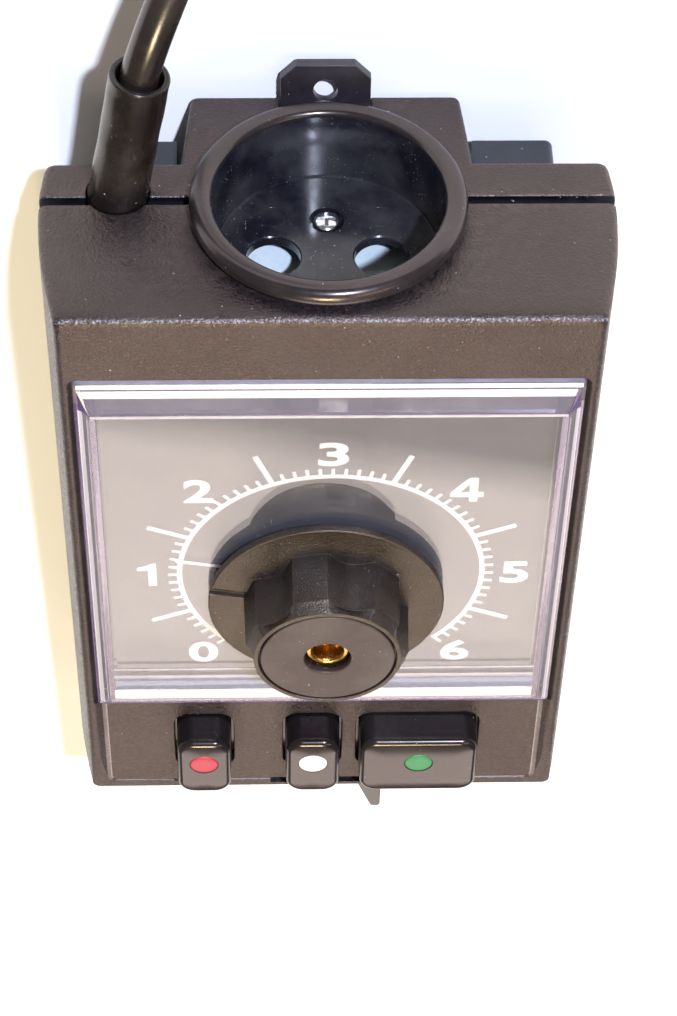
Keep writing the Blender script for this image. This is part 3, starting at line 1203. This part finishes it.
# --------------------------------------------- carried-over CAD nodes' looks
CARRIED = {
    "zinc_plate": ("tab_screw", "cover_screw_1", "cover_screw_2", "case_screw_1",
                   "case_screw_2", "case_screw_3", "case_screw_4", "pot_body",
                   "pot_washer", "pot_nut", "range_switch", "board_screw_1",
                   "board_screw_2", "board_screw_3", "board_screw_4", "fuse"),
    "brass_plain": ("pot_shaft",),
    "gloss_black": ("stop_switch", "focus_switch", "start_switch"),
    "board_paper": ("circuit_board",),
    "core_steel": ("transformer_core",),
    "winding_copper": ("transformer_coil",),
    "relay_blue": ("relay",),
    "capacitor_blue": ("capacitor",),
    "moulding_beige": ("fuse_holder", "terminal_block", "cord_clamp")}
for look, nodes in CARRIED.items():
    for node in nodes:
        slots = NODES[node].data.materials
        if len(slots) == 0:
            slots.append(MATERIALS[look])
        for i in range(len(slots)):
            slots[i] = MATERIALS[look]


# --------------------------------------------------------- floor and light
# from here on, lengths are metres in the row frame
def slab(half_x, half_y, depth):
    return loft([[(-half_x, -half_y, z), (half_x, -half_y, z), (half_x, half_y, z),
                  (-half_x, half_y, z)] for z in (0.0, -depth)])


def direction(x, y, z):
    """A panel direction in the row frame."""
    return (AXIS_X * x + AXIS_Y * y + AXIS_Z * z).normalized()


def aim(location):
    """A frame whose -Z looks at the dial."""
    z = (Vector(location) - DIAL).normalized()
    x = Vector((0, 0, 1)).cross(z).normalized()
    return frame_at(location, x, z.cross(x), z)


def softbox(name, location, width, height, radiance, colour):
    """A square-cornered light whose brightness is given as radiance."""
    lamp = bpy.data.lights.new(name, "AREA")
    lamp.shape = "RECTANGLE"
    lamp.size, lamp.size_y = width, height
    lamp.color = colour
    lamp.energy = radiance * math.pi * width * height
    obj = bpy.data.objects.new(name, lamp)
    bpy.context.scene.collection.objects.link(obj)
    obj.matrix_world = aim(location)


floor = solid("paper_floor", slab(half_x=3, half_y=3, depth=0.01))
paper = Shader("paper_white")
tone = paper.ramp(paper.noise(size=60.0, detail=3.0), span=(0.3, 0.7))
floor.data.materials.append(paper.finish(paper.node("BsdfPrincipled", {
    "Base Color": paper.mix(tone, (0.90, 0.90, 0.90), (0.92, 0.92, 0.92)),
    "Roughness": 0.9, "Specular IOR Level": 0.1})))

# the card that the window and the panel mirror towards the camera
card = solid("warm_card", slab(half_x=0.60, half_y=0.34, depth=0.002))
card.matrix_world = aim(DIAL + direction(0.027, -0.774, 0.633) * 1.25)
glow = Shader("card_glow")
split = glow.node("SeparateXYZ", {0: glow.place}).outputs
slant = glow.plus(split["Y"], glow.multiply(split["X"], 0.165))
# bright on one side of a slanting line, dim on the other
strength = glow.ramp(slant, span=(0.040, 0.066), to=(4.0, 0.75))
card.data.materials.append(glow.finish(glow.node("Emission", {
    "Color": (1.0, 0.86, 0.78), "Strength": strength})))

# a small cool lamp on the outlet side, a warm one overhead and a tall warm one to +X
softbox("cool_flash", DIAL + Vector((0.22, 0.89, 1.0)).normalized() * 1.6,
        width=0.06, height=0.06, radiance=3200.0, colour=(0.73, 0.80, 1.0))
softbox("warm_lamp", (-0.04, -0.40, 1.35), width=0.28, height=0.28, radiance=60.0,
        colour=(1.0, 0.83, 0.52))
softbox("side_card", DIAL + Vector((0.50, 0.10, 0.86)) * 1.1, width=0.17, height=0.55,
        radiance=5.0, colour=(1.0, 0.76, 0.54))

world = bpy.data.worlds.new("pale_room")
bpy.context.scene.world = world
world.use_nodes = True
background = world.node_tree.nodes["Background"].inputs
background["Color"].default_value = (1.0, 0.94, 0.88, 1.0)
background["Strength"].default_value = 0.18

# ------------------------------------------------------------------ camera
CAMERA_PLACE = (-11.95, 420.0, 327.3)  # panel millimetres
camera_data = bpy.data.cameras.new("photo_view")
camera_data.lens = 100.98
camera_data.sensor_width = 36.0
camera_data.sensor_fit = "AUTO"
camera_data.clip_start = 0.02
camera = bpy.data.objects.new("photo_view", camera_data)
bpy.context.scene.collection.objects.link(camera)
view = direction(0.02717, -0.77402, -0.63258)
right = direction(0.99961, 0.01672, 0.02247)
right = (right - view * right.dot(view)).normalized()
camera.matrix_world = frame_at(PANEL @ Vector(CAMERA_PLACE), right,
                               right.cross(view).normalized(), -view)
bpy.context.scene.camera = camera
bpy.context.scene.view_settings.view_transform = "Standard"
